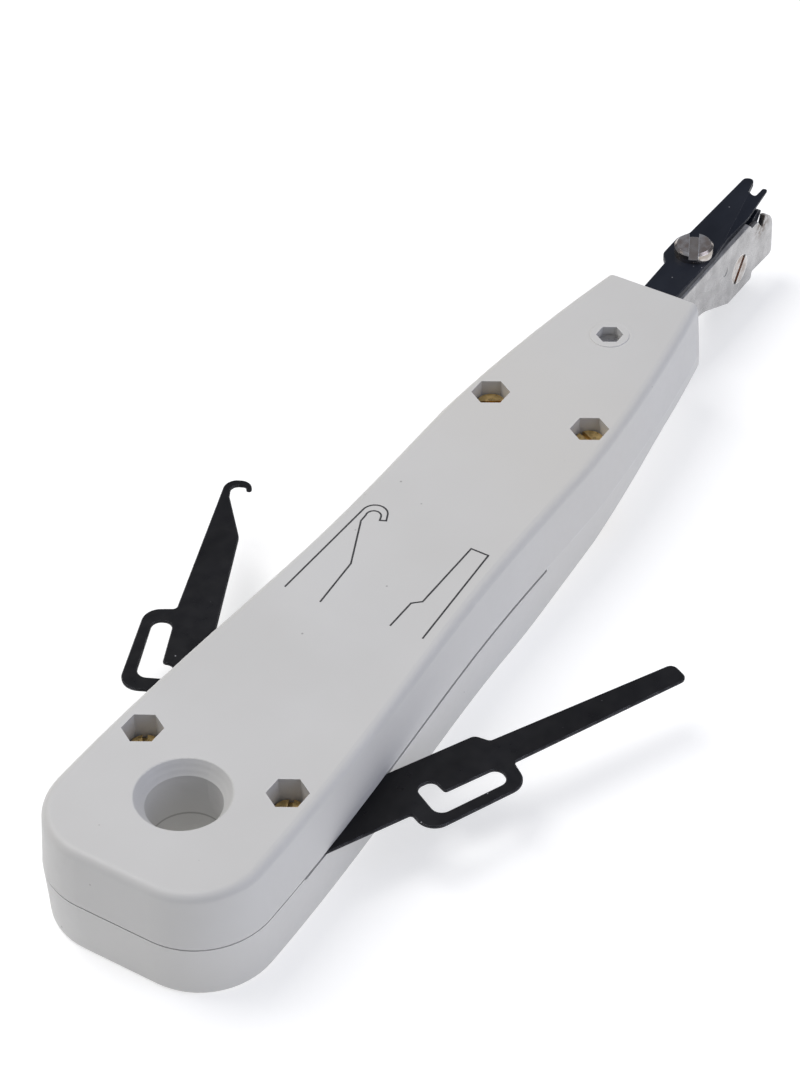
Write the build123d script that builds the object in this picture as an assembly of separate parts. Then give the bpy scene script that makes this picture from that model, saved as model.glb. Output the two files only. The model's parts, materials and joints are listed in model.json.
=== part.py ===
from build123d import *
import math
import os

# A hand tool that presses telephone wires into slotted contacts and trims them.
# Millimetres. Origin: axis of the hang hole, on the flat underside. +X to the tip, +Z up.

# ---------------------------------------------------------------- driving sizes: case
CASE_TOP = 18.0
PARTING = 9.0
WALL = 2.0
ROOF = 16.1
REAR_X = -16.6
FRONT_X = 125.0
REAR_HALF_WIDTH = 16.9
REAR_CORNER_R = 11.0
NOSE_X = 129.0
NOSE_HALF_WIDTH = 7.8
FRONT_CORNER_R = 2.4
TOP_DRAFT = 0.75
BOTTOM_DRAFT = 0.3
TOP_EDGE_R = 1.3
FRONT_EDGE_R = 0.3
BOTTOM_EDGE_R = 0.7
BELLY_START_X = 65.0
BELLY_END_X = 106.0
BELLY_RISE = 6.2
FLOOR_MAX = 7.4
SEAM_HEIGHT = 0.25
SEAM_DEPTH = 0.35

# ---------------------------------------------------------------- driving sizes: hang hole
HANG_R = 5.2
HANG_RIM_R = 6.55
HANG_CHAMFER_DEPTH = 2.0
HANG_RIM_ROUND = 0.3
HANG_BOTTOM_CHAMFER = 0.5
HANG_TUBE_R = 7.4

# ---------------------------------------------------------------- driving sizes: fasteners
HEX_AF = 5.0
NUT_AF = 4.9
NUT_THICK = 2.0
SHANK_R = 1.25
HOLE_R = 1.35
HEAD_R = 2.3
HEAD_HEIGHT = 1.5
REAR_SCREW = (7.1, 11.56)
FRONT_SCREW = (90.75, 8.4)
REAR_HEAD_TOP = 14.7
FRONT_HEAD_TOP = 16.0
REAR_BOSS_R = 4.0
FRONT_BOSS_R = 3.4
REAR_NUT_Z = 0.8
FRONT_NUT_Z = 4.9
SLOT_ANGLES = {"rear_left": 34, "rear_right": 24, "front_left": -56, "front_right": 65}

# ---------------------------------------------------------------- driving sizes: levers
LEVER_THICK = 0.5
LEVER_Z = 8.45
LEVER_SLOT_Z = 8.4
LEVER_SLOT_X = (2.6, 70.0)
EYE_R = 1.3
EDGE_BREAK = 0.12
ROOT_HALF = 4.2
ROOT_ROUND = 3.9
HOOK_REST_ANGLE = 25.0
BLADE_REST_ANGLE = -27.0
WASHER_R = 3.0
WASHER_THICK = 0.35

# ---------------------------------------------------------------- driving sizes: slide head
STROKE = 6.0
CHANNEL_REAR_X = 97.0
CHANNEL_HALF = 3.25
SHEET = 0.9
BEND_R = 0.7
WEB_TOP = 14.9
WEB_FRONT_X = 150.6
CHEEK_BOTTOM = 7.6
RIGHT_NOSE_X = 159.1
LEFT_NOSE_X = 155.0
APERTURE_HALF = 3.5
FORK_TOP = 15.9
FORK_SCREW = (138.6, 0.3)
HOLLOW_R = 4.0
HOLLOW_ANGLE = 35.0
PIVOT = (147.9, 8.0)
BLADE_Y = (-2.3, -1.5)
CUT_ANGLE = 15.0
TRIP_PIN = (138.1, 8.9)
TRIP_PIN_R = 0.8
STOP_PIN_X = 111.45
STOP_PIN_R = 1.0
SPRING_Z = 10.8
ROD_R = 1.4
SPRING_WALL_X = (69.0, 71.0)
SEAT_THICK = 1.2
FLANGE_THICK = 1.4
SPRING_WIRE_R = 0.4
SPRING_MEAN_R = 2.9
SPRING_TURNS = 9
GAP = 0.1


# ---------------------------------------------------------------- small helpers
def outline(*corners):
    """A closed flat face. Each corner is (x, y, rounding radius)."""
    points = [(x, y) for x, y, _ in corners]
    radii = [radius for _, _, radius in corners]
    return make_face(FilletPolyline(*points, radius=radii, close=True))


def prism(face, z_low, z_high):
    """Stands a flat face up from z_low to z_high."""
    return extrude(Pos(0, 0, z_low) * face, amount=z_high - z_low)


def side_plate(face_xz, y_low, y_high):
    """A plate standing in the XZ plane, from y_low to y_high."""
    return extrude(Plane.XZ.offset(-y_high) * face_xz, amount=y_high - y_low)


def block(x_range, y_range, z_range):
    """A plain box given by its low and high faces."""
    size = [high - low for low, high in (x_range, y_range, z_range)]
    middle = [(high + low) / 2 for low, high in (x_range, y_range, z_range)]
    return Pos(*middle) * Box(*size)


def rod_z(radius, z_low, z_high, x=0.0, y=0.0):
    """An upright cylinder."""
    return Pos(x, y, (z_low + z_high) / 2) * Cylinder(radius, z_high - z_low)


def rod_y(radius, y_low, y_high, x, z):
    """A cylinder lying across the tool."""
    return Pos(x, (y_low + y_high) / 2, z) * Rot(90, 0, 0) * Cylinder(radius, y_high - y_low)


def rod_x(radius, x_low, x_high, z):
    """A cylinder lying along the tool, on its middle plane."""
    return Pos((x_low + x_high) / 2, 0, z) * Rot(0, 90, 0) * Cylinder(radius, x_high - x_low)


def hexagon(across_flats):
    """A hexagon with two corners on the X axis."""
    return RegularPolygon(across_flats / 2, 6, major_radius=False)


def slotted_screw(head_r, head_height, shank_r, shank_length, slot_width, slot_angle):
    """A slotted cheese-head screw pointing down, the top of its head at z = 0."""
    head = chamfer(Cylinder(head_r, head_height).edges().group_by(Axis.Z)[-1], head_r * 0.12)
    head = Pos(0, 0, -head_height / 2) * head
    slot_depth = head_height * 0.55
    slot = Pos(0, 0, -slot_depth / 2) * Box(3 * head_r, slot_width, slot_depth)
    shank = rod_z(shank_r, -head_height - shank_length, -head_height)
    return head - Rot(0, 0, slot_angle) * slot + shank


def hex_nut(across_flats, thickness, bore_r):
    """A hexagon nut standing on z = 0, its outer corners turned off by a cone."""
    body = prism(hexagon(across_flats), 0, thickness)
    round_off = Cylinder(across_flats * 0.57, thickness)
    round_off = Pos(0, 0, thickness / 2) * chamfer(round_off.edges(), across_flats * 0.05)
    return body & round_off - rod_z(bore_r, 0, thickness)


def screw_spots():
    """Name, x, y, top of head and nut height of each of the four case screws."""
    rear_x, rear_y = REAR_SCREW
    front_x, front_y = FRONT_SCREW
    return [
        ("rear_left", rear_x, rear_y, REAR_HEAD_TOP, REAR_NUT_Z),
        ("rear_right", rear_x, -rear_y, REAR_HEAD_TOP, REAR_NUT_Z),
        ("front_left", front_x, front_y, FRONT_HEAD_TOP, FRONT_NUT_Z),
        ("front_right", front_x, -front_y, FRONT_HEAD_TOP, FRONT_NUT_Z),
    ]


# ---------------------------------------------------------------- case shells
def case_outline(inset=0.0):
    """Plan view of the case: a rounded rear, a slight waist and a nose drawn past the front face."""
    rear = REAR_X + inset
    corner_x = REAR_X + REAR_CORNER_R
    corner_y = REAR_HALF_WIDTH - REAR_CORNER_R
    corner_r = REAR_CORNER_R - inset
    slant = corner_r * math.sqrt(0.5)
    shoulder = (84.0, 13.5 - inset)
    nose_end = (NOSE_X, NOSE_HALF_WIDTH - inset)
    edges = [
        Line((rear, 0), (rear, corner_y)),
        ThreePointArc(
            (rear, corner_y),
            (corner_x - slant, corner_y + slant),
            (corner_x, REAR_HALF_WIDTH - inset),
        ),
        Spline(
            (corner_x, REAR_HALF_WIDTH - inset),
            (26.0, 15.55 - inset),
            (54.0, 13.7 - inset),
            shoulder,
            tangents=[(1, 0), (1, 0)],
        ),
        ThreePointArc(shoulder, (106.0, 11.6 - inset), nose_end),
        Line(nose_end, (NOSE_X, 0)),
    ]
    half = Curve() + edges
    return make_face(half + mirror(half, Plane.XZ))


def up_to_front(x):
    """Everything behind x, as tall and as wide as the case and more."""
    return block((REAR_X - 5, x), (-30, 30), (-5, CASE_TOP + 5))


def drafted_body(far_z, draft):
    """The outline at the parting plane, leaning in by the draft up to far_z, with a square front."""
    near = Pos(0, 0, PARTING) * case_outline()
    far = Pos(0, 0, far_z) * case_outline(draft)
    return loft([near, far], ruled=True)


def rounded_front():
    """Plan mask that cuts the nose off square and rounds its two corners."""
    margin = 0.4
    plan = case_outline(-margin) & Pos(FRONT_X - 100, 0) * Rectangle(200, 60)
    return fillet(plan.vertices().group_by(Axis.X)[-1], FRONT_CORNER_R)


def side_outline(rise):
    """Side view of the lower shell: a flat underside that ramps up under the nose."""
    low, high = rise
    return outline(
        (REAR_X - 5, low, 0),
        (BELLY_START_X, low, 60),
        (BELLY_END_X, high, 60),
        (FRONT_X + 5, high + 0.2, 0),
        (FRONT_X + 5, PARTING, 0),
        (REAR_X - 5, PARTING, 0),
    )


def cross_ribs(z_low, z_high):
    """Walls across the lever bay that keep the folded levers flat."""
    ribs = [block((x, x + 1.2), (-20, 20), (z_low, z_high)) for x in (20.0, 36.0, 52.0)]
    return Part() + ribs


def hang_hole_cut():
    """Through hole with a cone at each face."""
    top = Cone(HANG_R, HANG_RIM_R, HANG_CHAMFER_DEPTH)
    top = Pos(0, 0, CASE_TOP - HANG_CHAMFER_DEPTH / 2) * top
    bottom = Cone(HANG_R + HANG_BOTTOM_CHAMFER, HANG_R, HANG_BOTTOM_CHAMFER)
    bottom = Pos(0, 0, HANG_BOTTOM_CHAMFER / 2) * bottom
    return rod_z(HANG_R, 0, CASE_TOP) + top + bottom


def slide_rails(z_low, z_high):
    """Guide walls on both sides of the sliding head."""
    inner = APERTURE_HALF
    rail = block((100, FRONT_X - 1), (inner, inner + 1.2), (z_low, z_high))
    return rail + mirror(rail, Plane.XZ)


def peg_spots():
    """Where pegs line the two shells up."""
    return [(REAR_X + 4.6, 0.0), (117.0, 6.6), (117.0, -6.6)]


def nose_aperture(z_low, z_high):
    """Opening in the nose that the head slides through."""
    return block((FRONT_X - 5, FRONT_X + 1), (-APERTURE_HALF, APERTURE_HALF), (z_low, z_high))


def spring_wall(z_low, z_high):
    """Wall that takes the push of the main spring, with a hole for the guide rod."""
    wall = block(SPRING_WALL_X, (-8, 8), (z_low, z_high))
    return wall - rod_x(ROD_R + 0.35, SPRING_WALL_X[0] - 1, SPRING_WALL_X[1] + 1, SPRING_Z)


def make_upper_shell():
    skin = drafted_body(CASE_TOP, TOP_DRAFT)
    rim = skin.faces().sort_by(Axis.Z)[-1].outer_wire().edges().sort_by(Axis.X)[:-2]
    skin = fillet(rim, TOP_EDGE_R) & prism(rounded_front(), PARTING, CASE_TOP)
    front_edge = skin.edges().filter_by(Axis.Y).group_by(Axis.X)[-1].sort_by(Axis.Z)[-1]
    skin = fillet(front_edge, FRONT_EDGE_R)
    cavity = prism(case_outline(WALL), PARTING, ROOF) & up_to_front(FRONT_X - WALL)
    inside = cross_ribs(PARTING, ROOF) + spring_wall(PARTING, ROOF) + slide_rails(PARTING, ROOF)
    inside += rod_z(HANG_TUBE_R, PARTING, ROOF)
    for name, x, y, _, _ in screw_spots():
        radius = REAR_BOSS_R if name.startswith("rear") else FRONT_BOSS_R
        inside += rod_z(radius, PARTING, ROOF, x, y)
    for x, y in peg_spots():
        inside += rod_z(2.2, PARTING, ROOF, x, y)
    shell = skin - (cavity - inside)
    for name, x, y, head_top, _ in screw_spots():
        floor = head_top - HEAD_HEIGHT
        shell -= Pos(x, y, 0) * prism(hexagon(HEX_AF), floor, CASE_TOP)
        shell -= rod_z(HOLE_R, PARTING, floor, x, y)
        if name.startswith("rear"):
            shell -= rod_z(WASHER_R + 0.2, PARTING, PARTING + WASHER_THICK, x, y)
    for x, y in peg_spots():
        shell -= rod_z(1.25, PARTING, PARTING + 2.2, x, y)
    ring = rod_z(3.0, CASE_TOP - 0.5, CASE_TOP + 0.15, STOP_PIN_X)
    shell += fillet(ring.edges().group_by(Axis.Z)[-1], 0.14)
    shell -= Pos(STOP_PIN_X, 0, 0) * prism(hexagon(3.6), ROOF + 0.4, CASE_TOP + 1)
    shell -= rod_z(STOP_PIN_R + 0.05, ROOF - 1, CASE_TOP, STOP_PIN_X)
    shell -= nose_aperture(PARTING, ROOF)
    shell -= hang_hole_cut()
    hang_rim = [edge for edge in shell.edges().filter_by(GeomType.CIRCLE) if is_hang_rim(edge)]
    return fillet(hang_rim, HANG_RIM_ROUND)


def is_hang_rim(edge):
    """True for the circle where the cone of the hang hole meets the top face."""
    return abs(edge.radius - HANG_RIM_R) < 0.01 and abs(edge.center().Z - CASE_TOP) < 0.01


def make_lower_shell():
    skin = drafted_body(0, BOTTOM_DRAFT) & prism(rounded_front(), 0, PARTING)
    skin &= side_plate(side_outline((0, BELLY_RISE)), -30, 30)
    rim = [
        edge
        for edge in skin.edges()
        if edge.center().Z < BELLY_RISE + 0.5
        and not (abs(edge.center().Y) < 0.1 and REAR_X + 1 < edge.center().X < FRONT_X - 1)
        and abs(edge.tangent_at(0.5).Z) < 0.5
    ]
    skin = fillet(rim, BOTTOM_EDGE_R)
    cavity = prism(case_outline(WALL), 0, PARTING) & up_to_front(FRONT_X - WALL)
    cavity &= side_plate(side_outline((WALL, FLOOR_MAX)), -30, 30)
    inside = cross_ribs(0, PARTING) + spring_wall(0, PARTING) + slide_rails(0, PARTING)
    inside += rod_z(HANG_TUBE_R, 0, PARTING)
    for name, x, y, _, _ in screw_spots():
        radius = REAR_BOSS_R if name.startswith("rear") else FRONT_BOSS_R
        inside += rod_z(radius, 0, PARTING, x, y)
    for x, y in peg_spots():
        inside += rod_z(2.2, 0, PARTING, x, y)
    shell = skin - (cavity - inside)
    lever_slot = block(LEVER_SLOT_X, (-30, 30), (LEVER_SLOT_Z, PARTING))
    shell -= lever_slot - rod_z(HANG_TUBE_R, LEVER_SLOT_Z, PARTING)
    for _, x, y, _, nut_z in screw_spots():
        shell -= rod_z(HOLE_R, nut_z, PARTING, x, y)
        shell -= Pos(x, y, 0) * prism(hexagon(HEX_AF), -1, nut_z + NUT_THICK)
    for x, y in peg_spots():
        shell += rod_z(1.2, PARTING - 1, PARTING + 2.0, x, y)
    seam = prism(case_outline(-SEAM_DEPTH), PARTING - SEAM_HEIGHT, PARTING)
    seam -= prism(case_outline(SEAM_DEPTH), PARTING - SEAM_HEIGHT, PARTING)
    shell -= seam & block((REAR_X - 5, LEVER_SLOT_X[0]), (-30, 30), (0, PARTING))
    shell -= rod_z(STOP_PIN_R + 0.05, BELLY_RISE + 0.5, PARTING, STOP_PIN_X)
    shell -= nose_aperture(FLOOR_MAX, PARTING)
    return shell - hang_hole_cut()


# ---------------------------------------------------------------- fasteners
def make_case_screws():
    screws = []
    for name, x, y, head_top, nut_z in screw_spots():
        length = head_top - HEAD_HEIGHT - nut_z
        screw = slotted_screw(HEAD_R, HEAD_HEIGHT, SHANK_R, length, 0.7, SLOT_ANGLES[name])
        screws.append(Pos(x, y, head_top) * screw)
    return Compound(children=screws)


def make_case_nuts():
    nuts = [
        Pos(x, y, nut_z) * hex_nut(NUT_AF, NUT_THICK, SHANK_R) for _, x, y, _, nut_z in screw_spots()
    ]
    return Compound(children=nuts)


def make_lever_washers():
    """Friction rings pressed between each lever and the upper shell."""
    x, y = REAR_SCREW
    low = LEVER_Z + LEVER_THICK
    ring = rod_z(WASHER_R, low, PARTING + WASHER_THICK, x)
    ring -= rod_z(HOLE_R, low, PARTING + WASHER_THICK, x)
    return Compound(children=[Pos(0, side * y, 0) * ring for side in (1, -1)])


# ---------------------------------------------------------------- folding levers
def nail_window(drop):
    """L-shaped window that a fingernail pulls on."""
    return outline(
        (18.7, 0.3, 1.2),
        (21.5, 0.3, 1.2),
        (21.8, 3.0 - drop, 0.5),
        (30.2, 2.9 - drop, 1.4),
        (30.1, 5.9 - drop, 1.4),
        (18.7, 6.3 - drop, 1.6),
    )


def hook_outline():
    """The lever with the wire hook. The pivot is at the origin and +X runs to the hook, which opens back."""
    drop = 0.9
    plate = outline(
        (-ROOT_HALF, -ROOT_HALF, ROOT_ROUND),
        (48.9, -ROOT_HALF, 4),
        (57.65, -1.3, 0.5),
        (60.15, -1.1, 1.15),
        (60.15, -3.5, 0.6),
        (59.2, -3.5, 0.3),
        (59.2, -4.3, 0.35),
        (61.4, -4.3, 1.8),
        (61.4, -0.2, 2.0),
        (32.9, 2.1, 0.7),
        (32.4, 7.4 - drop, 2.6),
        (16.2, 8.4 - drop, 2.8),
        (16.2, 2.6, 0.5),
        (-ROOT_HALF, 2.6, 2.4),
    )
    return plate - nail_window(drop) - Circle(EYE_R)


def blade_outline():
    """The lever with the flat prying blade, drawn like the hook lever."""
    plate = outline(
        (-ROOT_HALF, -ROOT_HALF, ROOT_ROUND),
        (30.6, -3.9, 1.2),
        (31.9, -1.95, 0.8),
        (61.2, -1.25, 1.1),
        (61.3, 2.3, 1.1),
        (32.5, 3.2, 0.5),
        (31.9, 7.7, 2.7),
        (16.1, 8.3, 2.8),
        (15.9, ROOT_HALF, 0.5),
        (-ROOT_HALF, ROOT_HALF, ROOT_ROUND),
    )
    return plate - nail_window(0.0) - Circle(EYE_R)


def lever(face, side, angle):
    """Stands a lever outline in its slot, on the left (side 1) or the right (side -1)."""
    plate = prism(face, -LEVER_THICK / 2, LEVER_THICK / 2)
    flat_edges = plate.edges().group_by(Axis.Z)
    plate = chamfer(flat_edges[0] + flat_edges[-1], EDGE_BREAK)
    if side < 0:
        plate = Rot(180, 0, 0) * plate
    place = Pos(REAR_SCREW[0], side * REAR_SCREW[1], LEVER_Z + LEVER_THICK / 2)
    return place * Rot(0, 0, angle) * plate


# ---------------------------------------------------------------- sliding head
def cheek_outline(nose_x, nose_r):
    """Side view of one cheek of the channel, from its tail to its nose."""
    return outline(
        (CHANNEL_REAR_X, CHEEK_BOTTOM, 0),
        (135.4, CHEEK_BOTTOM, 7),
        (144.4, 3.45, 1.2),
        (152.1, 3.45, 0.4),
        (152.3, 4.7, 0.4),
        (nose_x, 4.3, 0.8),
        (nose_x - 0.3, 13.5, nose_r),
        (WEB_FRONT_X + 1.0, 13.7, 0.5),
        (WEB_FRONT_X, WEB_TOP, 0),
        (CHANNEL_REAR_X, WEB_TOP, 0),
    )


def make_slide_channel():
    """Folded steel channel, open below: two cheeks and a top web with bent corners."""
    outer = CHANNEL_HALF
    inner = CHANNEL_HALF - SHEET
    bent = block((CHANNEL_REAR_X, RIGHT_NOSE_X + 1), (-outer, outer), (0, WEB_TOP))
    bent = fillet(bent.edges().filter_by(Axis.X).group_by(Axis.Z)[-1], BEND_R)
    bent -= block((CHANNEL_REAR_X - 1, RIGHT_NOSE_X + 2), (-inner, inner), (-1, WEB_TOP - SHEET))
    right = side_plate(cheek_outline(RIGHT_NOSE_X, 4.0), -outer, 0)
    left = side_plate(cheek_outline(LEFT_NOSE_X, 2.8), 0, outer)
    wire_notch = outline((153.2, 14.2, 0), (155.3, 11.4, 0.3), (156.4, 14.2, 0))
    channel = bent & (right + left)
    channel -= side_plate(wire_notch, -outer, -inner)
    channel -= stop_slot()
    channel -= rod_z(SHANK_R + 0.02, 12, 16, *FORK_SCREW)
    channel -= rod_y(1.55, -outer, outer, *PIVOT)
    channel -= pivot_head_cone(0.02)
    channel -= rod_y(0.9, -outer, -outer + 0.06, 142.8, 10.8)
    return channel - rod_y(1.02, -outer, outer, CHANNEL_REAR_X + 2.0, SPRING_Z)


def stop_slot():
    """Slot in the web and the fork's tail that the fixed stop pin runs in."""
    slot = SlotCenterToCenter(STROKE, 2 * STOP_PIN_R + 0.2)
    return prism(Pos(STOP_PIN_X + STROKE / 2, 0) * slot, WEB_TOP - 2, FORK_TOP + 1)


def make_fork_blade():
    """Black insertion blade: a flat tail, a round lug under its screw and two tines."""
    face = outline(
        (106.0, -2.9, 1.0),
        (106.0, 2.3, 1.0),
        (134.3, 3.0, 1.2),
        (136.1, 4.45, 2.2),
        (141.0, 4.45, 2.4),
        (143.0, 3.4, 2.0),
        (160.5, 2.95, 0.85),
        (161.1, 1.4, 0.7),
        (157.5, 0.6, 0.45),
        (157.0, -0.65, 0.6),
        (160.1, -0.65, 0.4),
        (160.4, -1.4, 0.35),
        (152.0, -2.35, 6.0),
        (145.0, -2.4, 6.0),
        (140.0, -2.9, 2.0),
    )
    plate = prism(face, WEB_TOP, FORK_TOP)
    plate = chamfer(plate.edges().group_by(Axis.Z)[-1], EDGE_BREAK)
    plate -= flank_cut()
    plate -= stop_slot()
    return plate - rod_z(SHANK_R + 0.02, WEB_TOP, FORK_TOP, *FORK_SCREW)


def flank_cut():
    """Grinding wheel that hollows the right flank. Its edge is the fold line on the top face."""
    start = Vector(141.0, -2.9, FORK_TOP)
    end = Vector(157.0, 0.3, FORK_TOP)
    along = (end - start).normalized()
    outward = Vector(along.Y, -along.X, 0)
    slope = math.radians(HOLLOW_ANGLE)
    middle = (start + end) * 0.5
    axis = middle + outward * (HOLLOW_R * math.sin(slope)) + Vector(0, 0, HOLLOW_R * math.cos(slope))
    return Plane(origin=axis, z_dir=along) * Cylinder(HOLLOW_R, 60)


def make_fork_screw():
    x, y = FORK_SCREW
    screw = slotted_screw(3.05, 1.8, SHANK_R, FORK_TOP - 12.6, 1.5, 27)
    return Pos(x, y, FORK_TOP + 1.8) * screw


# ---------------------------------------------------------------- scissor and its drive
def pivot_head_cone(extra):
    """Countersunk head of the scissor's pivot screw, flush with the right cheek."""
    cone = Cone(2.55 + extra, 1.5 + extra, SHEET)
    return Pos(PIVOT[0], -CHANNEL_HALF + SHEET / 2, PIVOT[1]) * Rot(-90, 0, 0) * cone


def trip_path(steps=9):
    """Where the fixed trip pin lies on the turning scissor, over the whole stroke."""
    points = []
    for step in range(steps):
        share = step / (steps - 1)
        turn = math.radians(CUT_ANGLE * share)
        x = TRIP_PIN[0] - PIVOT[0] + STROKE * share
        z = TRIP_PIN[1] - PIVOT[1]
        points.append(
            (
                PIVOT[0] + x * math.cos(turn) - z * math.sin(turn),
                PIVOT[1] + x * math.sin(turn) + z * math.cos(turn),
            )
        )
    return points


def make_scissor_blade():
    """Blade with a nose that shears past the right cheek and a tail slotted for the trip pin."""
    path = trip_path()
    slot_r = TRIP_PIN_R + GAP
    tail = Pos(*path[0]) * Circle(slot_r + 1.0) + Pos(*PIVOT) * Circle(3.2)
    body = make_hull(tail.edges())
    nose = outline(
        (145.3, 8.9, 0),
        (151.2, 13.1, 1.0),
        (155.4, 14.4, 0.4),
        (156.6, 13.9, 0.3),
        (151.0, 7.6, 0),
    )
    slot = trace(Spline(*path), 2 * slot_r)
    slot += Pos(*path[0]) * Circle(slot_r) + Pos(*path[-1]) * Circle(slot_r)
    face = body + nose - slot - Pos(*PIVOT) * Circle(1.55)
    return side_plate(face, *BLADE_Y)


def make_scissor_screw():
    """Pivot screw: countersunk slotted head on the right, plain shank, nut on the left."""
    shank = rod_y(1.5, -CHANNEL_HALF + SHEET, CHANNEL_HALF + 2.4, *PIVOT)
    slot = Box(8, 1.0, 0.8)
    slot = Pos(PIVOT[0], -CHANNEL_HALF, PIVOT[1]) * Rot(0, -50, 0) * Rot(90, 0, 0) * slot
    return pivot_head_cone(0.0) + shank - slot


def make_scissor_spacer():
    """Tube that keeps the scissor against the right cheek."""
    tube = rod_y(2.4, BLADE_Y[1] + 0.05, CHANNEL_HALF - SHEET, *PIVOT)
    return tube - rod_y(1.55, -CHANNEL_HALF, CHANNEL_HALF, *PIVOT)


def make_scissor_nut():
    nut = hex_nut(5.5, 2.2, 1.5)
    return Pos(PIVOT[0], CHANNEL_HALF, PIVOT[1]) * Rot(-90, 0, 0) * nut


def make_trip_bar():
    """Fixed bar inside the channel. The stop pin holds its rear and it carries the trip pin."""
    x, z = TRIP_PIN
    rear = STOP_PIN_X - 3
    plan = outline(
        (rear, -1.9, 0.8),
        (rear, 1.9, 0.8),
        (x + 1.0, 1.9, 0.8),
        (x + 1.0, -1.3, 0.4),
        (128.5, -1.3, 0.4),
        (127.5, -1.9, 0.4),
    )
    bar = prism(plan, z - 0.8, z + 0.8)
    bar -= rod_z(STOP_PIN_R, z - 2, z + 2, STOP_PIN_X)
    return bar - rod_y(TRIP_PIN_R, -2, 0, x, z)


def make_trip_pin():
    return rod_y(TRIP_PIN_R, BLADE_Y[0], 0, *TRIP_PIN)


def make_stop_pin():
    """Upright pin through both shells, with a thin head in the small hexagon pocket."""
    head = rod_z(1.6, ROOF + 0.4, ROOF + 0.8, STOP_PIN_X)
    return rod_z(STOP_PIN_R, BELLY_RISE + 0.6, ROOF + 0.4, STOP_PIN_X) + head


# ---------------------------------------------------------------- spring and guide rod
def make_slide_block():
    """Steel block riveted into the rear of the channel."""
    inner = CHANNEL_HALF - SHEET
    body = block(
        (CHANNEL_REAR_X, CHANNEL_REAR_X + 4.0), (-inner, inner), (CHEEK_BOTTOM + 0.4, WEB_TOP - SHEET)
    )
    body -= rod_y(1.0, -inner, inner, CHANNEL_REAR_X + 2.0, SPRING_Z)
    return body


def make_block_rivet():
    """Cross rivet with a low head on each cheek."""
    x = CHANNEL_REAR_X + 2.0
    return rod_y(1.0, -CHANNEL_HALF, CHANNEL_HALF, x, SPRING_Z)


def make_spring_rod():
    """Guide rod with a flange that the spring pushes on and a groove for its clip."""
    rod = rod_x(ROD_R, SPRING_WALL_X[0] - 2.4, CHANNEL_REAR_X, SPRING_Z)
    flange = rod_x(3.8, CHANNEL_REAR_X - FLANGE_THICK, CHANNEL_REAR_X, SPRING_Z)
    groove = rod_x(ROD_R, SPRING_WALL_X[0] - 0.7, SPRING_WALL_X[0], SPRING_Z)
    groove -= rod_x(ROD_R - 0.4, SPRING_WALL_X[0] - 0.7, SPRING_WALL_X[0], SPRING_Z)
    return rod + flange - groove


def make_rod_clip():
    """Open ring that snaps in the rod's groove and stops it on the spring wall."""
    ring = rod_x(3.0, SPRING_WALL_X[0] - 0.6, SPRING_WALL_X[0], SPRING_Z)
    ring -= rod_x(ROD_R - 0.38, SPRING_WALL_X[0] - 1, SPRING_WALL_X[0] + 1, SPRING_Z)
    mouth = block((60, 80), (-0.9, 0.9), (SPRING_Z, SPRING_Z + 5))
    return ring - mouth


def make_spring_seat():
    """Loose steel plate between the spring and its wall."""
    x = SPRING_WALL_X[1]
    plate = block((x, x + SEAT_THICK), (-4.5, 4.5), (SPRING_Z - 4.5, SPRING_Z + 4.5))
    plate = fillet(plate.edges().filter_by(Axis.X), 1.2)
    return plate - rod_x(ROD_R + 0.2, x - 1, x + 3, SPRING_Z)


def make_main_spring():
    """Compression spring round the guide rod, drawn at its installed length."""
    start = SPRING_WALL_X[1] + SEAT_THICK + SPRING_WIRE_R
    end = CHANNEL_REAR_X - FLANGE_THICK - SPRING_WIRE_R
    coil = Helix((end - start) / SPRING_TURNS, end - start, SPRING_MEAN_R)
    wire = sweep(Plane(coil @ 0, z_dir=coil % 0) * Circle(SPRING_WIRE_R), coil, is_frenet=True)
    return Pos(start, 0, SPRING_Z) * Rot(0, 90, 0) * wire


# ---------------------------------------------------------------- all the pieces
def build_nodes():
    return {
        "upper_shell": make_upper_shell(),
        "lower_shell": make_lower_shell(),
        "case_screws": make_case_screws(),
        "case_nuts": make_case_nuts(),
        "lever_washers": make_lever_washers(),
        "hook_lever": lever(hook_outline(), 1, HOOK_REST_ANGLE),
        "blade_lever": lever(blade_outline(), -1, BLADE_REST_ANGLE),
        "slide_channel": make_slide_channel(),
        "fork_blade": make_fork_blade(),
        "fork_screw": make_fork_screw(),
        "scissor_blade": make_scissor_blade(),
        "scissor_screw": make_scissor_screw(),
        "scissor_spacer": make_scissor_spacer(),
        "scissor_nut": make_scissor_nut(),
        "trip_bar": make_trip_bar(),
        "trip_pin": make_trip_pin(),
        "stop_pin": make_stop_pin(),
        "slide_block": make_slide_block(),
        "block_rivet": make_block_rivet(),
        "spring_rod": make_spring_rod(),
        "rod_clip": make_rod_clip(),
        "spring_seat": make_spring_seat(),
        "main_spring": make_main_spring(),
    }


os.makedirs("parts", exist_ok=True)
for node, shape in build_nodes().items():
    export_step(shape, f"parts/{node}.step")
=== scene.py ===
import json
import math

import bpy
from mathutils import Matrix, Vector


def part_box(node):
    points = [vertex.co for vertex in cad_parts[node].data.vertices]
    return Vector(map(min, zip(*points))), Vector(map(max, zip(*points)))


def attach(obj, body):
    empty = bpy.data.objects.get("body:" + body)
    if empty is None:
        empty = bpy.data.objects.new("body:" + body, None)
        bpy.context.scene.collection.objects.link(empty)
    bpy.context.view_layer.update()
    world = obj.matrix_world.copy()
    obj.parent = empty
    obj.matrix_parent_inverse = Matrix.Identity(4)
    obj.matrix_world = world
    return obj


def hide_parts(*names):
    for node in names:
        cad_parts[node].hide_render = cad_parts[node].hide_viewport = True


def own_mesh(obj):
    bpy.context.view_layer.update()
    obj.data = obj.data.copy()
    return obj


MM = 0.001

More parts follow.
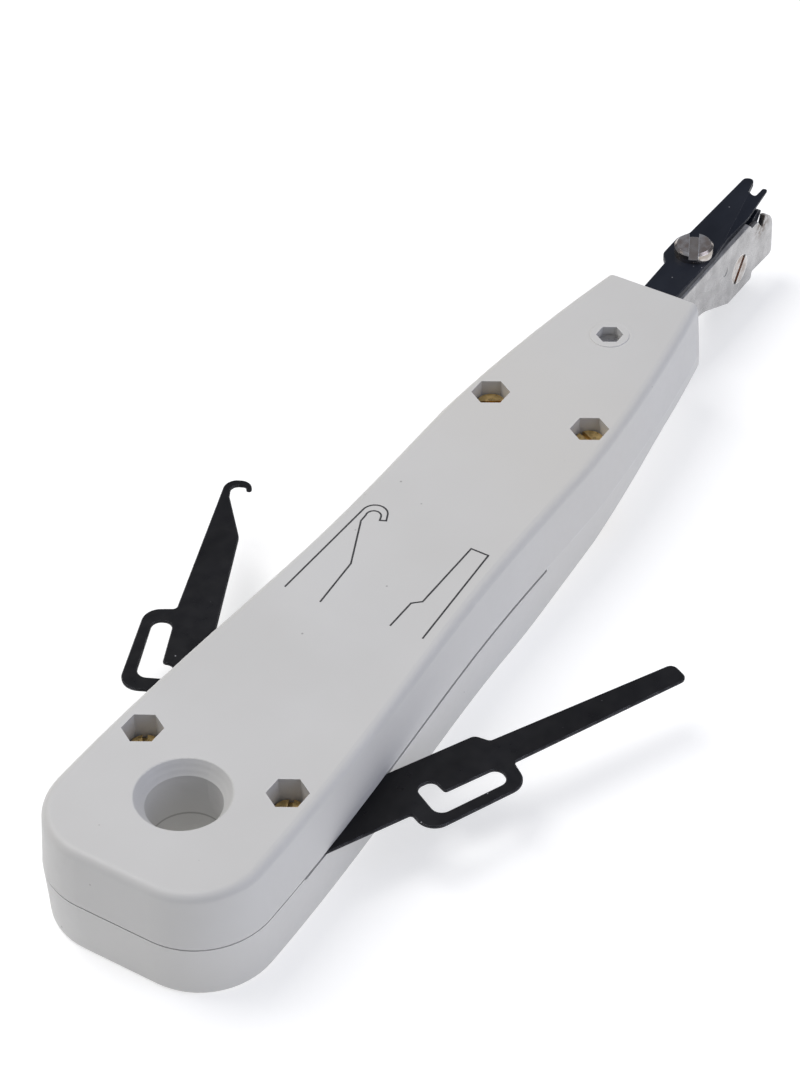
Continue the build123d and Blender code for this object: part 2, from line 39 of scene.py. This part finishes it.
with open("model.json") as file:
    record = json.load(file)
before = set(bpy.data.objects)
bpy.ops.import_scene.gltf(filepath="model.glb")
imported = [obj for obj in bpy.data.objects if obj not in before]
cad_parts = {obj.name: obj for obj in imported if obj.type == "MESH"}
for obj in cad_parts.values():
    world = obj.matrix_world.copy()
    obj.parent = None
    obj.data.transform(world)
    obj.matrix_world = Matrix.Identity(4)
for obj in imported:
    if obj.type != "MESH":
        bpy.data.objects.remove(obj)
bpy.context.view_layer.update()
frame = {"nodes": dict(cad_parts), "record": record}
NODES = frame["nodes"]


# ---------------------------------------------------------------- camera, lights and floor
CAMERA_PLACE = Vector((-226.5, -185.9, 320.1)) * MM
CAMERA_FORWARD = Vector((0.62078, 0.41356, -0.66603))
CAMERA_RIGHT = Vector((0.53538, -0.84423, -0.02521))
LENS_MM = 106.8
SENSOR_MM = 36.0
WHITE = (1.0, 1.0, 1.0)
WARM_WHITE = (1.0, 0.985, 0.955)
COOL_WHITE = (0.78, 0.82, 1.0)
SKY_WHITE = (0.86, 0.89, 1.0)
FLOOR_SIZE = 6.0
FLOOR_GREY = (0.60, 0.60, 0.60)
FLOOR_GLOW = 0.55
FLOOR_GAP = 0.05 * MM
SKY_BRIGHTNESS = 0.35
HORIZON_GREY = 0.45
TOOL_MIDDLE = Vector((0.06, 0, 0.01))


def add_camera():
    """Camera at the photograph's viewing angle, looking down on the tool from behind its right side."""
    data = bpy.data.cameras.new("camera")
    data.lens = LENS_MM
    data.sensor_width = SENSOR_MM
    data.sensor_fit = "VERTICAL"
    data.sensor_height = SENSOR_MM
    data.clip_start = 0.01
    camera = bpy.data.objects.new("camera", data)
    bpy.context.scene.collection.objects.link(camera)
    back = -CAMERA_FORWARD.normalized()
    right = (CAMERA_RIGHT - CAMERA_RIGHT.dot(back) * back).normalized()
    up = back.cross(right)
    turn = Matrix((right, up, back)).transposed()
    camera.matrix_world = Matrix.Translation(CAMERA_PLACE) @ turn.to_4x4()
    bpy.context.scene.camera = camera


def add_area_light(name, place, size, power, colour=WHITE):
    """A square soft box aimed at the middle of the tool."""
    data = bpy.data.lights.new(name, "AREA")
    data.shape = "SQUARE"
    data.size = size
    data.energy = power
    data.color = colour
    light = bpy.data.objects.new(name, data)
    bpy.context.scene.collection.objects.link(light)
    light.location = place
    light.rotation_euler = (TOOL_MIDDLE - Vector(place)).to_track_quat("-Z", "Y").to_euler()


def add_floor():
    """A white floor that glows a little, so its shadows stay faint."""
    bpy.ops.mesh.primitive_plane_add(size=FLOOR_SIZE, location=(TOOL_MIDDLE.x, 0, -FLOOR_GAP))
    floor = bpy.context.object
    floor.name = "studio_floor"
    material, _, shader = new_look("floor")
    shader.inputs["Base Color"].default_value = (*FLOOR_GREY, 1)
    shader.inputs["Roughness"].default_value = 0.9
    shader.inputs["Emission Color"].default_value = (*WHITE, 1)
    shader.inputs["Emission Strength"].default_value = FLOOR_GLOW
    floor.data.materials.append(material)


def add_sky():
    """A white dome, greyer at the horizon so that polished metal has something to show."""
    world = bpy.data.worlds.new("studio")
    world.use_nodes = True
    tree = world.node_tree
    direction = add(tree, "TexCoord").outputs["Generated"]
    height = add(tree, "SeparateXYZ", {0: direction}).outputs["Z"]
    horizon = tuple(HORIZON_GREY * channel for channel in SKY_WHITE)
    shade = mix(tree, fade(tree, height, 0.0, 0.7), horizon, SKY_WHITE)
    background = tree.nodes["Background"]
    tree.links.new(shade, background.inputs["Color"])
    background.inputs["Strength"].default_value = SKY_BRIGHTNESS
    bpy.context.scene.world = world


def add_studio():
    """A pale floor and soft light from all round, as in a product picture."""
    add_floor()
    add_sky()
    add_area_light("key_light", (0.05, 0.50, 0.95), 0.7, 8, WARM_WHITE)
    add_area_light("side_light", (0.25, -0.9, 0.45), 0.8, 3.2, COOL_WHITE)
    bpy.context.scene.view_settings.view_transform = "Standard"


# ---------------------------------------------------------------- material building blocks
def add(tree, kind, inputs=None, **settings):
    """Adds a node. inputs maps its sockets to a number, a colour or another node's output."""
    node = tree.nodes.new("ShaderNode" + kind)
    for key, value in settings.items():
        setattr(node, key, value)
    for key, value in (inputs or {}).items():
        if isinstance(value, bpy.types.NodeSocket):
            tree.links.new(value, node.inputs[key])
        else:
            node.inputs[key].default_value = value
    return node


def maths(tree, operation, first, second=0.0):
    """One Math node, which gives a number for each point of the surface."""
    return add(tree, "Math", {0: first, 1: second}, operation=operation).outputs[0]


def fade(tree, value, low, high, low_out=0.0, high_out=1.0):
    """Follows value from low to high, and stays level outside them."""
    span = {"Value": value, "From Min": low, "From Max": high, "To Min": low_out, "To Max": high_out}
    return add(tree, "MapRange", span).outputs["Result"]


def mix(tree, share, first, second):
    """Colour that goes from first to second as share goes from 0 to 1."""
    first = first if isinstance(first, bpy.types.NodeSocket) else (*first, 1)
    second = second if isinstance(second, bpy.types.NodeSocket) else (*second, 1)
    return add(tree, "Mix", {0: share, 6: first, 7: second}, data_type="RGBA").outputs[2]


def place(tree):
    """Position in the tool's own frame, in metres."""
    return add(tree, "TexCoord").outputs["Object"]


def along(tree, axis):
    """Position along one axis, in metres."""
    return add(tree, "SeparateXYZ", {0: place(tree)}).outputs[axis]


def noise(tree, size, detail=2.0, stretch=(1, 1, 1)):
    """Soft noise from 0 to 1 with features about size metres across, longer along a stretched axis."""
    scale = tuple(1 / (size * factor) for factor in stretch)
    where = add(tree, "Mapping", {"Vector": place(tree), "Scale": scale}).outputs["Vector"]
    return add(tree, "TexNoise", {"Vector": where, "Scale": 1.0, "Detail": detail}).outputs["Fac"]


def specks(tree, spacing, radius):
    """1 in small round dots of the given radius, scattered about spacing metres apart, and 0 between."""
    cells = add(tree, "TexVoronoi", {"Vector": place(tree), "Scale": 1 / spacing})
    size = radius / spacing
    return fade(tree, cells.outputs["Distance"], 1.3 * size, 0.7 * size)


def distance_from(tree, centre, flatten):
    """Distance in metres from the line through centre. flatten is 0 along that line and 1 across it."""
    offset = add(tree, "VectorMath", {0: place(tree), 1: centre}, operation="SUBTRACT").outputs[0]
    across = add(tree, "VectorMath", {0: offset, 1: flatten}, operation="MULTIPLY").outputs[0]
    return add(tree, "VectorMath", {0: across}, operation="LENGTH").outputs["Value"]


def ripples(tree, value, pitch):
    """Waves from 0 to 1 as value grows, one each pitch."""
    wave = maths(tree, "SINE", maths(tree, "MULTIPLY", value, 2 * math.pi / pitch))
    return fade(tree, wave, -1.0, 1.0)


def edges(tree, radius):
    """1 on outside and inside edges, 0 on flat faces."""
    rounded = add(tree, "Bevel", {"Radius": radius}, samples=6).outputs["Normal"]
    flat = add(tree, "NewGeometry").outputs["Normal"]
    agree = add(tree, "VectorMath", {0: rounded, 1: flat}, operation="DOT_PRODUCT").outputs["Value"]
    return fade(tree, agree, 0.985, 0.85)


def relief(tree, height, depth, under=None):
    """Bumps of the given depth in metres, on top of the relief in under."""
    inputs = {"Height": height, "Distance": depth}
    if under is not None:
        inputs["Normal"] = under
    return add(tree, "Bump", inputs).outputs["Normal"]


def new_look(name):
    """A material with its node tree and its shader."""
    material = bpy.data.materials.new(name)
    material.use_nodes = True
    return material, material.node_tree, material.node_tree.nodes["Principled BSDF"]


def finish_look(tree, shader, colour, roughness, normal, metallic=None):
    """Joins the textures to the shader."""
    tree.links.new(colour, shader.inputs["Base Color"])
    tree.links.new(roughness, shader.inputs["Roughness"])
    tree.links.new(normal, shader.inputs["Normal"])
    if metallic is not None:
        tree.links.new(metallic, shader.inputs["Metallic"])


# ---------------------------------------------------------------- materials
HOLE_MASK_R = 6.5 * MM
PARTING_Z = 9.0 * MM
SMALL_POCKET = (111.45 * MM, 0, 0)
SINK_RING_R = 3.3 * MM
WIRE_NOTCH = (155.3 * MM, 0, 12.6 * MM)
UPRIGHT = (1, 1, 0)  # keeps distances across an axis along Z
CROSSWISE = (1, 0, 1)  # keeps distances across an axis along Y

PLASTIC_DARK = (0.600, 0.593, 0.576)
PLASTIC_PALE = (0.628, 0.622, 0.608)
PLASTIC_WARM = (0.628, 0.612, 0.576)
PLASTIC_EDGE_HIGHLIGHT = (0.76, 0.755, 0.745)
PLASTIC_SPECK = (0.16, 0.15, 0.14)
SEAM_SHADOW = (0.20, 0.19, 0.18)
LEVER_BLACK = ((0.004, 0.004, 0.005), (0.010, 0.010, 0.012))
LEVER_ROUGHNESS = 0.33
FORK_BLACK = ((0.006, 0.008, 0.014), (0.014, 0.017, 0.026))
FORK_ROUGHNESS = 0.40
BARE_STEEL = (0.42, 0.42, 0.44)
BRASS_CLEAN = (0.74, 0.54, 0.24)
BRASS_DULL = (0.42, 0.30, 0.13)
BRASS_EDGE_HIGHLIGHT = (0.90, 0.72, 0.40)
NICKEL_CLEAN = (0.62, 0.60, 0.58)
NICKEL_STAINED = (0.40, 0.34, 0.30)
NICKEL_EDGE_HIGHLIGHT = (0.92, 0.92, 0.91)
# Painted shade colours for the screw slots and the nut's recess: brownish, and coppery on the pivot
# screw.
FORK_SCREW_SLOT_SHADE = (0.40, 0.36, 0.32)
PIVOT_SCREW_SLOT_SHADE = (0.42, 0.26, 0.19)
NUT_RECESS_SHADE = (0.48, 0.45, 0.42)
PLATE_BRIGHT = (0.48, 0.475, 0.475)
PLATE_DULL = (0.35, 0.345, 0.345)
PLATE_STAIN = (0.20, 0.165, 0.14)
PLATE_EDGE_HIGHLIGHT = (0.86, 0.86, 0.86)
WIRE_GREY = (0.42, 0.42, 0.44)
WIRE_OILY = (0.27, 0.26, 0.27)
WIRE_EDGE_HIGHLIGHT = (0.62, 0.62, 0.63)
INK_DARK = (0.022, 0.022, 0.024)
INK_THIN = (0.060, 0.060, 0.062)


def case_plastic():
    """Moulded off-white plastic: faint clouding, a few dark specks, fine grain, painted highlights on the
    edges.
    """
    material, tree, shader = new_look("case_plastic")
    clouds = fade(tree, noise(tree, 22 * MM, 3.0), 0.35, 0.65)
    colour = mix(tree, clouds, PLASTIC_DARK, PLASTIC_PALE)
    warm = fade(tree, noise(tree, 55 * MM, 1.0), 0.50, 0.75, 0.0, 0.6)
    colour = mix(tree, warm, colour, PLASTIC_WARM)
    faint_specks = maths(tree, "MULTIPLY", specks(tree, 6 * MM, 0.16 * MM), 0.55)
    colour = mix(tree, faint_specks, colour, PLASTIC_SPECK)
    # Painted highlight: edges are lightened in patches, standing for light caught on the rounded rims.
    patches = fade(tree, noise(tree, 3 * MM), 0.35, 0.65, 0.15, 0.6)
    painted_edge_highlight = maths(tree, "MULTIPLY", edges(tree, 0.35 * MM), patches)
    colour = mix(tree, painted_edge_highlight, colour, PLASTIC_EDGE_HIGHLIGHT)

    from_hole = distance_from(tree, (0, 0, 0), UPRIGHT)
    in_hole = maths(tree, "LESS_THAN", from_hole, HOLE_MASK_R)
    from_parting = maths(tree, "ABSOLUTE", maths(tree, "SUBTRACT", along(tree, "Z"), PARTING_Z))
    seam = maths(tree, "MULTIPLY", in_hole, fade(tree, from_parting, 0.20 * MM, 0.10 * MM, 0.0, 0.6))
    colour = mix(tree, seam, colour, SEAM_SHADOW)

    rings = maths(tree, "MULTIPLY", in_hole, ripples(tree, along(tree, "Z"), 0.75 * MM))
    off_ring = maths(tree, "SUBTRACT", distance_from(tree, SMALL_POCKET, UPRIGHT), SINK_RING_R)
    ring = fade(tree, maths(tree, "ABSOLUTE", off_ring), 0.45 * MM, 0.05 * MM)
    normal = relief(tree, noise(tree, 0.14 * MM, 1.0), 0.004 * MM)
    normal = relief(tree, noise(tree, 2.5 * MM, 2.0), 0.010 * MM, normal)
    normal = relief(tree, rings, 0.012 * MM, normal)
    normal = relief(tree, ring, 0.035 * MM, normal)
    roughness = fade(tree, noise(tree, 1.2 * MM, 3.0), 0.3, 0.7, 0.40, 0.52)
    finish_look(tree, shader, colour, roughness, normal)
    shader.inputs["Specular IOR Level"].default_value = 0.35
    return material


def black_steel(name, shades, roughness):
    """Blackened steel: soft clouding, rubbed edges, and a few spots where bare metal shows."""
    material, tree, shader = new_look(name)
    clouds = fade(tree, noise(tree, 6 * MM, 4.0, (2, 1, 1)), 0.35, 0.70)
    colour = mix(tree, clouds, *shades)
    chipped = fade(tree, noise(tree, 1.4 * MM, 3.0), 0.38, 0.60)
    rubbed = maths(tree, "MULTIPLY", edges(tree, 0.12 * MM), chipped)
    bare = maths(tree, "MAXIMUM", maths(tree, "MULTIPLY", rubbed, 0.6), specks(tree, 2.4 * MM, 0.10 * MM))
    colour = mix(tree, bare, colour, BARE_STEEL)
    scratches = noise(tree, 0.25 * MM, 2.0, (14, 1, 1))
    normal = relief(tree, scratches, 0.0025 * MM)
    normal = relief(tree, noise(tree, 1.8 * MM, 2.0), 0.006 * MM, normal)
    uneven = fade(tree, noise(tree, 2.2 * MM, 3.0), 0.3, 0.7, roughness - 0.07, roughness + 0.09)
    finish_look(tree, shader, colour, uneven, normal, maths(tree, "MULTIPLY", bare, 0.9))
    shader.inputs["Specular IOR Level"].default_value = 0.2
    return material


def brass():
    """Turned brass, dulled in the corners."""
    material, tree, shader = new_look("brass")
    tarnish = fade(tree, noise(tree, 1.1 * MM, 4.0), 0.40, 0.68)
    colour = mix(tree, tarnish, BRASS_CLEAN, BRASS_DULL)
    # Painted highlight: edges are lightened, standing for light caught on the rims.
    colour = mix(tree, edges(tree, 0.10 * MM), colour, BRASS_EDGE_HIGHLIGHT)
    normal = relief(tree, noise(tree, 0.10 * MM, 2.0, (1, 5, 1)), 0.004 * MM)
    roughness = fade(tree, noise(tree, 0.7 * MM, 3.0), 0.3, 0.7, 0.24, 0.42)
    finish_look(tree, shader, colour, roughness, normal)
    shader.inputs["Metallic"].default_value = 1.0
    return material


def turned_nickel(name, node, axis, side, recess_shade_colour):
    """Bright turned metal with rings round the axis and painted highlights on its edges. Its slot and the
    side of its head, 0.15 to 1.2 mm below the face on that side, get painted shade in a darker, brownish
    colour.
    """
    material, tree, shader = new_look(name)
    low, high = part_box(node)
    centre = tuple((low + high) / 2)
    face = (high if side > 0 else low)["XYZ".index(axis)]
    flatten = UPRIGHT if axis == "Z" else CROSSWISE
    depth = maths(tree, "ABSOLUTE", maths(tree, "SUBTRACT", along(tree, axis), face))
    # Painted shade: from 0.15 to 1.2 mm below the face, the slot floor and the head's side are darkened.
    slot_floor = fade(tree, depth, 0.15 * MM, 0.40 * MM)
    painted_recess_shade = maths(tree, "MULTIPLY", slot_floor, fade(tree, depth, 1.2 * MM, 0.9 * MM))
    stains = fade(tree, noise(tree, 1.5 * MM, 3.0), 0.38, 0.62)
    colour = mix(tree, stains, NICKEL_CLEAN, NICKEL_STAINED)
    colour = mix(tree, painted_recess_shade, colour, recess_shade_colour)
    # Painted highlight: edges are lightened, standing for light caught on the rims.
    colour = mix(tree, edges(tree, 0.16 * MM), colour, NICKEL_EDGE_HIGHLIGHT)
    rings = ripples(tree, distance_from(tree, centre, flatten), 0.16 * MM)
    normal = relief(tree, rings, 0.0020 * MM)
    normal = relief(tree, noise(tree, 0.5 * MM, 2.0), 0.006 * MM, normal)
    roughness = fade(tree, noise(tree, 0.9 * MM, 3.0), 0.3, 0.7, 0.12, 0.26)
    finish_look(tree, shader, colour, roughness, normal)
    shader.inputs["Metallic"].default_value = 1.0
    return material


def bright_steel():
    """Nickel-plated pressed steel: mottled shine, brown stains near the wire notch, painted highlights on
    the edges.
    """
    material, tree, shader = new_look("bright_steel")
    mottle = fade(tree, noise(tree, 3.5 * MM, 4.0), 0.38, 0.66)
    colour = mix(tree, mottle, PLATE_BRIGHT, PLATE_DULL)
    near_notch = distance_from(tree, WIRE_NOTCH, CROSSWISE)
    stain_reach = fade(tree, near_notch, 3.4 * MM, 0.6 * MM)
    stains = maths(tree, "MULTIPLY", stain_reach, fade(tree, noise(tree, 1.1 * MM, 3.0), 0.42, 0.56))
    colour = mix(tree, stains, colour, PLATE_STAIN)
    # Painted highlight: edges are lightened, standing for light caught on the rims.
    colour = mix(tree, maths(tree, "MULTIPLY", edges(tree, 0.14 * MM), 0.6), colour, PLATE_EDGE_HIGHLIGHT)
    normal = relief(tree, noise(tree, 0.18 * MM, 2.0, (9, 1, 1)), 0.003 * MM)
    normal = relief(tree, noise(tree, 2.6 * MM, 2.0), 0.012 * MM, normal)
    roughness = fade(tree, noise(tree, 1.6 * MM, 4.0), 0.3, 0.7, 0.20, 0.38)
    roughness = maths(tree, "ADD", roughness, maths(tree, "MULTIPLY", stains, 0.25))
    finish_look(tree, shader, colour, roughness, normal)
    shader.inputs["Metallic"].default_value = 1.0
    return material


def spring_steel():
    """Drawn wire and spring strip: darker grey steel with lines along it and an oily bloom."""
    material, tree, shader = new_look("spring_steel")
    bloom = fade(tree, noise(tree, 2.0 * MM, 3.0), 0.4, 0.65)
    colour = mix(tree, bloom, WIRE_GREY, WIRE_OILY)
    # Painted highlight: edges are lightened, standing for light caught on the rims.
    colour = mix(tree, edges(tree, 0.08 * MM), colour, WIRE_EDGE_HIGHLIGHT)
    normal = relief(tree, noise(tree, 0.08 * MM, 2.0, (1, 6, 6)), 0.003 * MM)
    roughness = fade(tree, noise(tree, 0.8 * MM, 3.0), 0.3, 0.7, 0.26, 0.44)
    finish_look(tree, shader, colour, roughness, normal)
    shader.inputs["Metallic"].default_value = 1.0
    return material


def print_ink():
    """Thin dark screen print, a little patchy."""
    material, tree, shader = new_look("print_ink")
    patchy = fade(tree, noise(tree, 0.5 * MM, 3.0), 0.35, 0.75)
    colour = mix(tree, patchy, INK_DARK, INK_THIN)
    normal = relief(tree, noise(tree, 0.12 * MM, 2.0), 0.004 * MM)
    roughness = fade(tree, patchy, 0.0, 1.0, 0.50, 0.68)
    finish_look(tree, shader, colour, roughness, normal)
    return material


def spring_coil(material):
    """The main spring as its own piece attached to the case, a copy of its CAD node, which is hidden."""
    coil = bpy.data.objects.new("main_spring_coil", NODES["main_spring"].data.copy())
    coil.data.materials.clear()
    coil.data.materials.append(material)
    bpy.context.scene.collection.objects.link(coil)
    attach(coil, "case")
    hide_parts("main_spring")
    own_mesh(coil)


def paint_nodes():
    """Gives every CAD node the material of its slot, or its own version of it."""
    lever_black = black_steel("lever_black", LEVER_BLACK, LEVER_ROUGHNESS)
    fork_black = black_steel("fork_black", FORK_BLACK, FORK_ROUGHNESS)
    fork_nickel = turned_nickel("fork_screw_nickel", "fork_screw", "Z", 1, FORK_SCREW_SLOT_SHADE)
    pivot_nickel = turned_nickel("pivot_screw_nickel", "scissor_screw", "Y", -1, PIVOT_SCREW_SLOT_SHADE)
    nut_nickel = turned_nickel("nut_nickel", "scissor_nut", "Y", 1, NUT_RECESS_SHADE)
    by_slot = {
        "case_plastic": case_plastic(),
        "brass": brass(),
        "black_steel": lever_black,
        "bright_steel": bright_steel(),
        "nickel": nut_nickel,
        "spring_steel": spring_steel(),
    }
    spring_coil(by_slot["spring_steel"])
    by_node = {
        "fork_blade": fork_black,
        "scissor_blade": fork_black,
        "fork_screw": fork_nickel,
        "scissor_screw": pivot_nickel,
    }
    for part in frame["record"]["subparts"]:
        name = part["node"]
        mesh = NODES[name].data
        mesh.materials.clear()
        mesh.materials.append(by_node.get(name, by_slot[part["material_slot"]]))


# ---------------------------------------------------------------- printed pictograms
INK_LINE = 0.26 * MM
INK_RISE = 0.02 * MM
INK_SINK = 0.01 * MM
CASE_TOP = 18.0 * MM
ARC_STEP = 9


def arc(centre, radius, start, end):
    """Points round an arc, angles in degrees."""
    steps = max(2, round(abs(end - start) / ARC_STEP))
    angles = [math.radians(start + (end - start) * i / steps) for i in range(steps + 1)]
    return [(centre[0] + radius * math.cos(a), centre[1] + radius * math.sin(a)) for a in angles]


def hook_icon():
    """Outline of the wire hook, open at its root."""
    back = [(39.7, 10.8)] + arc((58.9, 8.4), 1.9, 92, -70)
    tip = [(58.5, 6.15), (58.1, 7.0)]
    throat = arc((58.45, 8.28), 1.1, -75, 110)
    return back + tip + throat + [(56.7, 9.25), (48.4, 5.55), (39.6, 4.9)]


def blade_icon():
    """Outline of the prying blade, open at its root."""
    return [(40.5, -5.95), (45.8, -6.0), (46.9, -7.2), (59.6, -7.25), (59.6, -10.05), (40.6, -11.1)]


def side_points(points, half_width):
    """The line's two edges, mitred at its corners."""
    points = [Vector(p) * MM for p in points]
    left, right = [], []
    for i, point in enumerate(points):
        before = (point - points[i - 1]).normalized() if i else None
        after = (points[i + 1] - point).normalized() if i + 1 < len(points) else None
        run = ((before or after) + (after or before)).normalized()
        across = Vector((-run.y, run.x))
        reach = half_width / max(0.4, abs(run.dot(after or before)))
        left.append(point + across * reach)
        right.append(point - across * reach)
    return left, right


def print_line(name, points, ink):
    """A raised ribbon of ink along points, on the case's top face."""
    low, high = CASE_TOP - INK_SINK, CASE_TOP + INK_RISE
    left, right = side_points(points, INK_LINE / 2)
    corners = []
    for one, other in zip(left, right):
        corners += [(*one, low), (*one, high), (*other, high), (*other, low)]
    faces = [(0, 1, 2, 3)]
    for i in range(0, len(corners) - 4, 4):
        faces += [(i + k, i + 4 + k, i + 4 + (k + 1) % 4, i + (k + 1) % 4) for k in range(4)]
    last = len(corners)
    faces.append((last - 1, last - 2, last - 3, last - 4))
    mesh = bpy.data.meshes.new(name)
    mesh.from_pydata(corners, [], faces)
    mesh.validate()
    mesh.materials.append(ink)
    piece = bpy.data.objects.new(name, mesh)
    bpy.context.scene.collection.objects.link(piece)
    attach(piece, "case")


def print_pictograms():
    """The two printed outlines that show which lever is on which side."""
    ink = print_ink()
    print_line("hook_icon_print", hook_icon(), ink)
    print_line("blade_icon_print", blade_icon(), ink)


# ---------------------------------------------------------------- build
add_camera()
add_studio()
paint_nodes()
print_pictograms()
